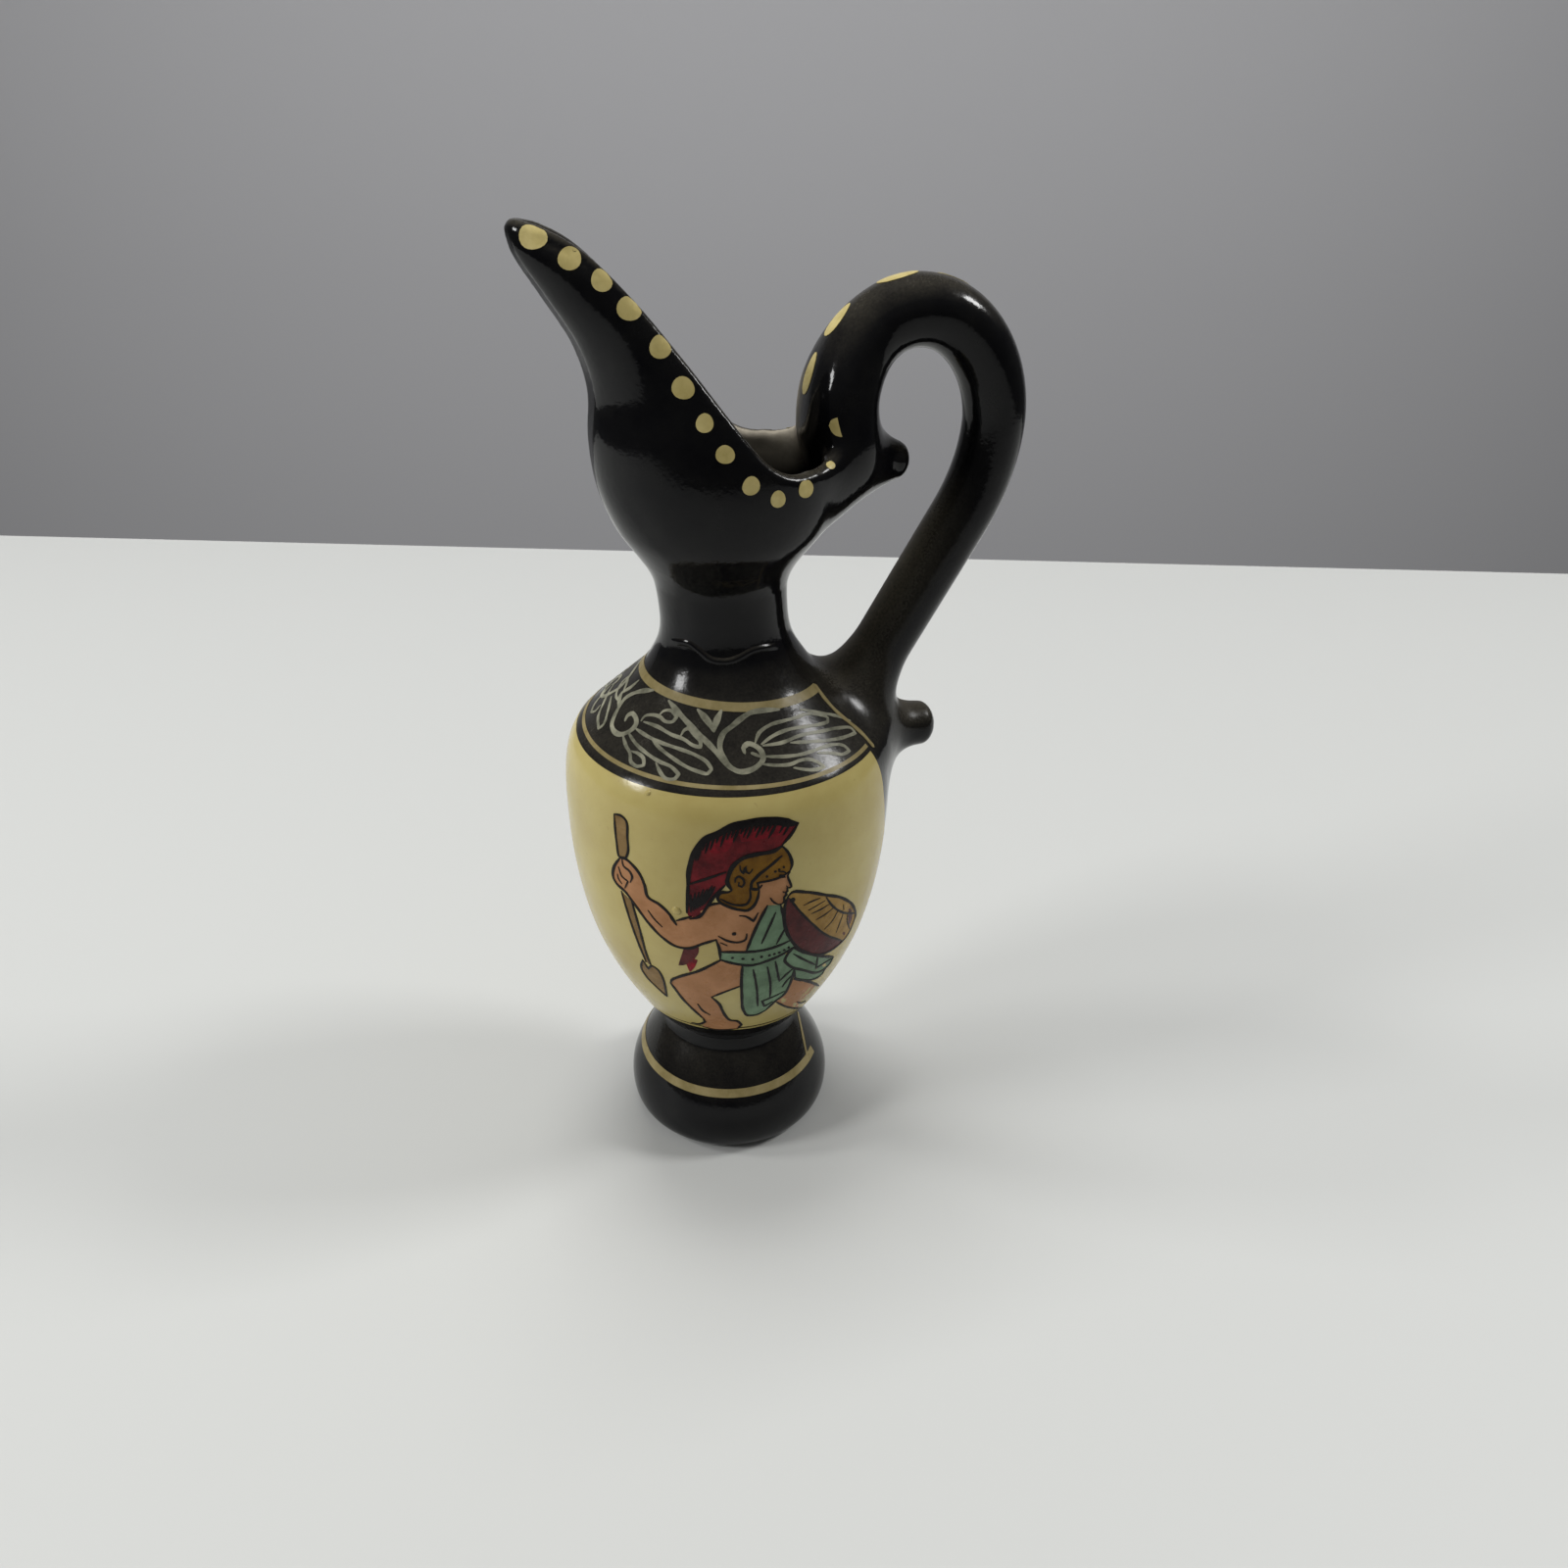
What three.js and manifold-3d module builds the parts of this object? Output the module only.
// Small beaked clay pitcher: a footed ovoid jug with a narrow neck, a tall open spout
// and one looped handle. Millimetres, +Z up. The origin is the centre of the foot's flat
// underside, the spout points along -X and the handle along +X.
import * as THREE from 'three';
import Module from 'manifold-3d';
import { mergeVertices } from 'three/addons/utils/BufferGeometryUtils.js';

const wasm = await Module();
wasm.setup();

// Facets round every turned piece, and round the handle and its spurs
const turnedFacets = 40;
const rodFacets = 16;

// Clay thickness of the thrown walls, and the clearance at a luted seat
const wall = 3.0;
const seatGap = 0.3;

// Foot: flat base, fat rolled rim, sloping top and a short stem
const baseRadius = 18.2;
const footRollRadius = 21.8;
const footRollHeight = 6.5;
const footSlopeRadius = 14.4;
const footSlopeHeight = 22.4;
const stemRadius = 13.8;
const footHeight = 26.0;
const baseCurl = 2.2;
const rollUnderPull = 4.2;
const rollOverPull = 5.0;
const slopePull = [5.0, 6.6];
const stemFillet = 0.8;

// Body: ovoid belly from the stem to the shoulder, then a cone up to the neck
const bellyFloor = 5.0;
const hipRadius = 20.1;
const hipRise = 8.1;
const bellyRadius = 31.3;
const bellyRise = 54.0;
const shoulderRadius = 27.6;
const shoulderRise = 69.0;
const collarRadius = 18.7;
const collarRise = 77.0;
const neckRootRadius = 15.0;
const bodyHeight = 81.0;
const underHipPull = [3.2, 5.7];
const hipPull = [5.9, 10.5];
const bellyUnderPull = 24.0;
const bellyOverPull = 8.5;
const shoulderPull = [2.9, 2.6];
const collarPull = [1.5, 2.2];

// Neck: a waisted tube between the body and the mouth
const neckRadius = 11.2;
const neckTopRadius = 11.9;
const neckHeight = 16.5;
const neckWaistRise = 10.2;
const neckRootPull = [2.4, 3.6];
const neckWaistPull = 4.6;
const neckTopPull = 2.0;
// The hand-set neck leans this far towards the spout over its height
const neckLean = 1.4;

// Mouth: a bowl that rises into a long open beak. Each station is
// [height above the neck, front reach, length front to back, half width].
const mouthStations = [
  [0, neckTopRadius + neckLean, 2 * neckTopRadius, neckTopRadius],
  [3.5, 16.0, 29.4, 14.4],
  [9.5, 19.6, 37.0, 17.0],
  [16.5, 22.3, 42.4, 18.2],
  [24.5, 23.3, 44.0, 17.6],
  [32.5, 23.0, 39.0, 15.6],
  [39.5, 25.0, 31.6, 12.9],
  [46.5, 29.3, 25.0, 10.0],
  [52.5, 33.0, 17.6, 7.0],
  [56.2, 33.8, 9.0, 3.6],
];
// Side view of the rim, from the beak's tip to the back: [x, height above the neck]
const rimLine = [
  [-33.4, 55.6],
  [-28.6, 54.6],
  [-22.8, 51.6],
  [-16.4, 45.3],
  [-10.2, 37.7],
  [-3.6, 29.3],
  [2.2, 22.6],
  [7.0, 19.9],
  [12.0, 20.0],
  [17.0, 22.2],
  [20.4, 25.0],
];
const rimSteps = 24;
const mouthRises = 9;
const lipSteps = 4;
// Least half width of the trough's hollow, and how far the ribs crowd to the two ends
const troughLeast = 0.4;
const ribCrowding = 0.11;

// Handle: springs from the back of the rim, loops over and runs down to the shoulder
const handleSpring = 18.9;
const handleSpringRise = 25.0;
const handleDip = 3.5;
// The root tapers down onto the back of the bowl like a corbel
const corbelReach = 17.4;
const corbelDip = 10.5;
const corbelRadius = 2.4;
const corbelHalfWidth = 5.6;
const loopHalfWidth = 14.7;
const loopRise = 18.2;
// The top of the loop leans this far towards the spout
const loopLean = 0.8;
const armBendDrop = 9.0;
const armStart = [43.3, 18.0];
const shoulderSeatReach = 25.4;
const shoulderSeatDrop = 8.6;
// Half the handle's thickness in its own plane, and half its width across that plane
const handleRootRadius = 6.1;
const handleRootHalfWidth = 9.8;
const handleCrownRadius = 5.9;
const handleCrownHalfWidth = 6.2;
const handleArmRadius = 5.5;
const handleArmHalfWidth = 5.8;
const handleFlareRadius = 8.6;
const handleFlareHalfWidth = 9.1;
const handleFlareLength = 11.0;
// Roundness of the root's section: 1 is an ellipse, less is nearer to a rounded square
const rootRoundness = 0.72;
const loopSteps = 16;
const rootSteps = 6;
const bendSteps = 4;
const armSteps = 9;

// Spurs: a blunt horn behind the mouth, and a rounded stub under the handle's lower end
const hornReach = 32.6;
const hornRise = 19.4;
const hornRadius = 4.2;
const hornRootRadius = 7.2;
const stubReach = 42.0;
const stubDrop = 18.1;
const stubRadius = 4.5;
const stubRootRadius = 7.6;
const spurSteps = 5;
const spurCapSteps = 5;
// Length of a spur's rounded end, as a share of its radius
const spurCapShare = 0.75;

const neckJoint = footHeight + bodyHeight;
const mouthJoint = neckJoint + neckHeight;

// A turned piece from a profile of [radius, height] points, spun about +Z
function turned(profile) {
  const points = profile.map((point) => new THREE.Vector2(Math.max(point.x, 0), point.y));
  return new THREE.LatheGeometry(points, turnedFacets).rotateX(Math.PI / 2);
}

function footOutline() {
  const path = new THREE.Path();
  path.moveTo(baseRadius, 0);
  path.bezierCurveTo(
    baseRadius + baseCurl, 0,
    footRollRadius, footRollHeight - rollUnderPull,
    footRollRadius, footRollHeight,
  );
  path.bezierCurveTo(
    footRollRadius, footRollHeight + rollOverPull,
    footSlopeRadius + slopePull[0], footSlopeHeight - slopePull[1],
    footSlopeRadius, footSlopeHeight,
  );
  path.quadraticCurveTo(stemRadius, footSlopeHeight + stemFillet, stemRadius, footHeight);
  return path.getPoints(8);
}

function footGeometry() {
  const bottomCentre = new THREE.Vector2(0, 0);
  const topCentre = new THREE.Vector2(0, footHeight);
  return turned([bottomCentre, ...footOutline(), topCentre]);
}

// The belly's side from the hip to the neck, drawn in from the outside by inset
function bellySide(path, inset) {
  const hip = footHeight + hipRise;
  const belly = footHeight + bellyRise;
  const shoulder = footHeight + shoulderRise;
  const collar = footHeight + collarRise;
  path.bezierCurveTo(
    hipRadius + hipPull[0] - inset, hip + hipPull[1],
    bellyRadius - inset, belly - bellyUnderPull,
    bellyRadius - inset, belly,
  );
  path.bezierCurveTo(
    bellyRadius - inset, belly + bellyOverPull,
    shoulderRadius + shoulderPull[0] - inset, shoulder - shoulderPull[1],
    shoulderRadius - inset, shoulder,
  );
  path.lineTo(collarRadius - inset, collar);
  path.quadraticCurveTo(
    neckRootRadius + collarPull[0] - inset, neckJoint - collarPull[1],
    neckRootRadius - inset, neckJoint,
  );
}

function bodyOutside(growth) {
  const path = new THREE.Path();
  const hip = footHeight + hipRise;
  path.moveTo(stemRadius + growth, footHeight);
  path.quadraticCurveTo(
    hipRadius - underHipPull[0] + growth, hip - underHipPull[1],
    hipRadius + growth, hip,
  );
  bellySide(path, -growth);
  return path.getPoints(7);
}

function bodyInside() {
  const path = new THREE.Path();
  const hip = footHeight + hipRise;
  path.moveTo(0, footHeight + bellyFloor);
  path.quadraticCurveTo(hipRadius - 2 * wall, footHeight + bellyFloor, hipRadius - wall, hip);
  bellySide(path, wall);
  return path.getPoints(6);
}

function bodyGeometry() {
  const bottomCentre = new THREE.Vector2(0, footHeight);
  return turned([bottomCentre, ...bodyOutside(0), ...bodyInside().reverse()]);
}

function neckSide(inset) {
  const path = new THREE.Path();
  const waist = neckJoint + neckWaistRise;
  path.moveTo(neckRootRadius - inset, neckJoint);
  path.bezierCurveTo(
    neckRootRadius - neckRootPull[0] - inset, neckJoint + neckRootPull[1],
    neckRadius - inset, waist - neckWaistPull,
    neckRadius - inset, waist,
  );
  path.quadraticCurveTo(
    neckRadius - inset, mouthJoint - neckTopPull,
    neckTopRadius - inset, mouthJoint,
  );
  return path.getPoints(7);
}

// Slides each level of a neck geometry towards the spout, more at the top
function leaned(geometry) {
  const spots = geometry.attributes.position;
  for (let index = 0; index < spots.count; index += 1) {
    const share = (spots.getZ(index) - neckJoint) / neckHeight;
    spots.setX(index, spots.getX(index) - neckLean * share);
  }
  return geometry;
}

function neckGeometry() {
  const outside = neckSide(0);
  const inside = neckSide(wall).reverse();
  return leaned(turned([...outside, ...inside, outside[0]]));
}

// Reads a smooth curve through rows of numbers at a given value of the first column
function smoothRow(rows, value) {
  const last = rows.length - 1;
  const clamped = THREE.MathUtils.clamp(value, rows[0][0], rows[last][0]);
  let low = 0;
  while (low < last - 1 && rows[low + 1][0] < clamped) low += 1;
  const part = (clamped - rows[low][0]) / (rows[low + 1][0] - rows[low][0]);
  return rows[low].map((_, column) => {
    const slope = (index) => {
      const before = rows[Math.max(index - 1, 0)];
      const after = rows[Math.min(index + 1, last)];
      return (after[column] - before[column]) / (after[0] - before[0]);
    };
    const span = rows[low + 1][0] - rows[low][0];
    const start = rows[low][column];
    const end = rows[low + 1][column];
    const square = part * part;
    const cube = square * part;
    return (2 * cube - 3 * square + 1) * start + (cube - 2 * square + part) * span * slope(low)
      + (3 * square - 2 * cube) * end + (cube - square) * span * slope(low + 1);
  });
}

// A point of the mouth's wall: the angle runs from the beak (0) to the back (180 degrees)
function mouthPoint(angle, rise, side, inset) {
  const [, front, length, halfWidth] = smoothRow(mouthStations, rise);
  const halfLength = length / 2;
  const along = Math.max(halfLength - inset, troughLeast);
  const across = Math.max(halfWidth - inset, troughLeast);
  return new THREE.Vector3(
    halfLength - front - along * Math.cos(angle),
    side * across * Math.sin(angle),
    mouthJoint + rise,
  );
}

// One rib of the mouth's shell, from the outside of the neck over the lip and down inside
function mouthRib(share, side, growth) {
  const first = rimLine[0][0];
  const last = rimLine[rimLine.length - 1][0];
  const rimX = THREE.MathUtils.lerp(first, last, share);
  const rimRise = smoothRow(rimLine, rimX)[1];
  const [, front, length] = smoothRow(mouthStations, rimRise);
  const reach = THREE.MathUtils.clamp((rimX + front) / (length / 2), 0, 2);
  const ends = share === 0 ? 0 : Math.PI;
  const rimAngle = share === 0 || share === 1 ? ends : Math.acos(1 - reach);
  const neckAngle = Math.PI * share;
  const point = (part, inset) => {
    const blend = part * part * (3 - 2 * part);
    const angle = THREE.MathUtils.lerp(neckAngle, rimAngle, blend);
    return mouthPoint(angle, rimRise * part, side, inset);
  };
  const outside = [];
  const inside = [];
  for (let step = 0; step <= mouthRises; step += 1) {
    outside.push(point(step / mouthRises, -growth));
    inside.push(point(step / mouthRises, wall + growth));
  }
  const outer = outside[mouthRises];
  const inner = inside[mouthRises];
  const middle = outer.clone().lerp(inner, 0.5);
  const lipHeight = outer.distanceTo(inner) / 2;
  const lip = [];
  for (let step = 1; step < lipSteps; step += 1) {
    const turn = (Math.PI * step) / lipSteps;
    const spot = middle.clone().addScaledVector(outer.clone().sub(middle), Math.cos(turn));
    spot.z += lipHeight * Math.sin(turn);
    lip.push(spot);
  }
  return [...outside, ...lip, ...inside.reverse()];
}

// Joins closed rings of points into one closed skin; a ring list that is not looped is
// capped with a fan at each end
function ringSkin(rings, looped) {
  const size = rings[0].length;
  const positions = rings.flat().flatMap((point) => [point.x, point.y, point.z]);
  const index = [];
  const pairs = looped ? rings.length : rings.length - 1;
  for (let ring = 0; ring < pairs; ring += 1) {
    const here = ring * size;
    const next = ((ring + 1) % rings.length) * size;
    for (let step = 0; step < size; step += 1) {
      const other = (step + 1) % size;
      index.push(here + step, next + step, next + other);
      index.push(here + step, next + other, here + other);
    }
  }
  if (!looped) {
    for (const end of [0, rings.length - 1]) {
      const centre = positions.length / 3;
      const middle = new THREE.Vector3();
      rings[end].forEach((point) => middle.addScaledVector(point, 1 / size));
      positions.push(middle.x, middle.y, middle.z);
      for (let step = 0; step < size; step += 1) {
        const here = end * size + step;
        const other = end * size + ((step + 1) % size);
        if (end === 0) index.push(centre, here, other);
        else index.push(centre, other, here);
      }
    }
  }
  const geometry = new THREE.BufferGeometry();
  geometry.setAttribute('position', new THREE.Float32BufferAttribute(positions, 3));
  geometry.setIndex(index);
  return geometry;
}

function mouthGeometry(growth) {
  const rings = [];
  for (let step = 0; step < rimSteps; step += 1) {
    rings.push(mouthRib(rimShare(step), -1, growth));
  }
  for (let step = rimSteps; step > 0; step -= 1) {
    rings.push(mouthRib(rimShare(step), 1, growth));
  }
  return ringSkin(rings, true);
}

// Ribs stand closer together round the beak's tip and the back of the mouth
function rimShare(step) {
  const even = step / rimSteps;
  return even - Math.sin(2 * Math.PI * even) * ribCrowding;
}

// Bends a circle's sine or cosine towards a rounded square
function squared(value, roundness) {
  return Math.sign(value) * Math.abs(value) ** roundness;
}

// A rod along a route in the XZ plane, with its own section at each step
function rod(stops) {
  const rings = stops.map((stop, index) => {
    const before = stops[Math.max(index - 1, 0)];
    const after = stops[Math.min(index + 1, stops.length - 1)];
    const along = new THREE.Vector2(after.x - before.x, after.z - before.z).normalize();
    const ring = [];
    for (let step = 0; step < rodFacets; step += 1) {
      const turn = (2 * Math.PI * step) / rodFacets;
      const out = stop.radius * squared(Math.cos(turn), stop.roundness);
      ring.push(new THREE.Vector3(
        stop.x - along.y * out,
        stop.halfWidth * squared(Math.sin(turn), stop.roundness),
        stop.z + along.x * out,
      ));
    }
    return ring;
  });
  return ringSkin(rings, false);
}

function handleStops() {
  const stops = [];
  const spring = mouthJoint + handleSpringRise;
  const loopCentre = handleSpring + loopHalfWidth;
  const armTop = loopCentre + loopHalfWidth;
  const armStartZ = spring - armStart[1];
  stops.push({
    x: corbelReach,
    z: spring - corbelDip,
    radius: corbelRadius,
    halfWidth: corbelHalfWidth,
    roundness: rootRoundness,
  });
  stops.push({
    x: handleSpring,
    z: spring - handleDip,
    radius: handleRootRadius,
    halfWidth: handleRootHalfWidth,
    roundness: rootRoundness,
  });
  const lerp = THREE.MathUtils.lerp;
  for (let step = 0; step <= loopSteps; step += 1) {
    const turn = Math.PI * (1 - step / loopSteps);
    const rootShare = Math.max(1 - step / rootSteps, 0);
    const armShare = Math.max(2 * step / loopSteps - 1, 0);
    const radius = lerp(handleCrownRadius, handleArmRadius, armShare);
    const halfWidth = lerp(handleCrownHalfWidth, handleArmHalfWidth, armShare);
    stops.push({
      x: loopCentre + loopHalfWidth * Math.cos(turn) - loopLean * Math.sin(turn),
      z: spring + loopRise * Math.sin(turn),
      radius: lerp(radius, handleRootRadius, rootShare),
      halfWidth: lerp(halfWidth, handleRootHalfWidth, rootShare),
      roundness: lerp(1, rootRoundness, rootShare),
    });
  }
  const bend = new THREE.QuadraticBezierCurve(
    new THREE.Vector2(armTop, spring),
    new THREE.Vector2(armTop, spring - armBendDrop),
    new THREE.Vector2(armStart[0], armStartZ),
  );
  for (const point of bend.getPoints(bendSteps).slice(1)) {
    stops.push({
      x: point.x,
      z: point.y,
      radius: handleArmRadius,
      halfWidth: handleArmHalfWidth,
      roundness: 1,
    });
  }
  const seatZ = neckJoint - shoulderSeatDrop;
  const armLength = Math.hypot(armStart[0] - shoulderSeatReach, armStartZ - seatZ);
  for (let step = 1; step <= armSteps + 1; step += 1) {
    const share = step / armSteps;
    const left = armLength * (1 - share);
    const flare = Math.max(1 - left / handleFlareLength, 0) ** 2;
    stops.push({
      x: lerp(armStart[0], shoulderSeatReach, share),
      z: lerp(armStartZ, seatZ, share),
      radius: lerp(handleArmRadius, handleFlareRadius, flare),
      halfWidth: lerp(handleArmHalfWidth, handleFlareHalfWidth, flare),
      roundness: 1,
    });
  }
  return stops;
}

// A spur that points along +X from a wide root to a rounded end
function spurStops(rootX, reach, height, radius, rootRadius) {
  const stops = [];
  const capStart = reach - radius * spurCapShare;
  for (let step = 0; step <= spurSteps; step += 1) {
    const share = step / spurSteps;
    const size = radius + (rootRadius - radius) * (1 - share) ** 2;
    stops.push({
      x: THREE.MathUtils.lerp(rootX, capStart, share),
      z: height,
      radius: size,
      halfWidth: size,
      roundness: 1,
    });
  }
  for (let step = 1; step < spurCapSteps; step += 1) {
    const turn = (Math.PI * step) / (2 * spurCapSteps);
    const size = radius * Math.cos(turn);
    stops.push({
      x: capStart + (reach - capStart) * Math.sin(turn),
      z: height,
      radius: size,
      halfWidth: size,
      roundness: 1,
    });
  }
  return stops;
}

function solidFrom(geometry) {
  const plain = geometry.clone();
  plain.deleteAttribute('normal');
  plain.deleteAttribute('uv');
  const merged = mergeVertices(plain, 1e-4);
  return new wasm.Manifold(new wasm.Mesh({
    numProp: 3,
    vertProperties: new Float32Array(merged.attributes.position.array),
    triVerts: new Uint32Array(merged.index.array),
  }));
}

function geometryFrom(solid) {
  const mesh = solid.getMesh();
  const geometry = new THREE.BufferGeometry();
  geometry.setAttribute('position', new THREE.Float32BufferAttribute(mesh.vertProperties, 3));
  geometry.setIndex(Array.from(mesh.triVerts));
  return geometry;
}

// Space kept free round the body, solid to the axis and grown by the seat clearance
function bodyKeepOut() {
  const outside = bodyOutside(seatGap);
  const bottomCentre = new THREE.Vector2(0, footHeight);
  const topCentre = new THREE.Vector2(0, neckJoint);
  return solidFrom(turned([bottomCentre, ...outside, topCentre]));
}

function neckKeepOut() {
  const bottomCentre = new THREE.Vector2(0, neckJoint);
  const topCentre = new THREE.Vector2(0, mouthJoint);
  return solidFrom(leaned(turned([bottomCentre, ...neckSide(-seatGap), topCentre])));
}

const mouthKeepOut = solidFrom(mouthGeometry(seatGap));
const handleWhole = solidFrom(rod(handleStops()));
const handleSolid = handleWhole.subtract(mouthKeepOut).subtract(bodyKeepOut())
  .subtract(neckKeepOut());

function handleKeepOut() {
  const grown = handleStops().map((stop) => ({
    ...stop,
    radius: stop.radius + seatGap,
    halfWidth: stop.halfWidth + seatGap,
  }));
  return solidFrom(rod(grown));
}

const hornRoot = mouthStations[3][2] - mouthStations[3][1] - wall / 2;
const horn = solidFrom(rod(
  spurStops(hornRoot, hornReach, mouthJoint + hornRise, hornRadius, hornRootRadius),
)).subtract(mouthKeepOut).subtract(handleKeepOut());

const stub = solidFrom(rod(
  spurStops(bellyRadius - wall, stubReach, neckJoint - stubDrop, stubRadius, stubRootRadius),
)).subtract(bodyKeepOut()).subtract(handleKeepOut());

// Finishes: glossy black slip and cream slip
const blackSlip = { color: 0x121314, roughness: 0.15, metalness: 0.0 };
const creamSlip = { color: 0xb3a56a, roughness: 0.3, metalness: 0.0 };

function piece(name, geometry, finish) {
  const mesh = new THREE.Mesh(geometry, new THREE.MeshStandardMaterial(finish));
  mesh.name = name;
  return mesh;
}

const pitcher = new THREE.Group();
pitcher.add(piece('foot', footGeometry(), blackSlip));
pitcher.add(piece('body', bodyGeometry(), creamSlip));
pitcher.add(piece('neck', neckGeometry(), blackSlip));
pitcher.add(piece('mouth', mouthGeometry(0), blackSlip));
pitcher.add(piece('handle', geometryFrom(handleSolid), blackSlip));
pitcher.add(piece('upper_spur', geometryFrom(horn), blackSlip));
pitcher.add(piece('lower_spur', geometryFrom(stub), blackSlip));

export default pitcher;
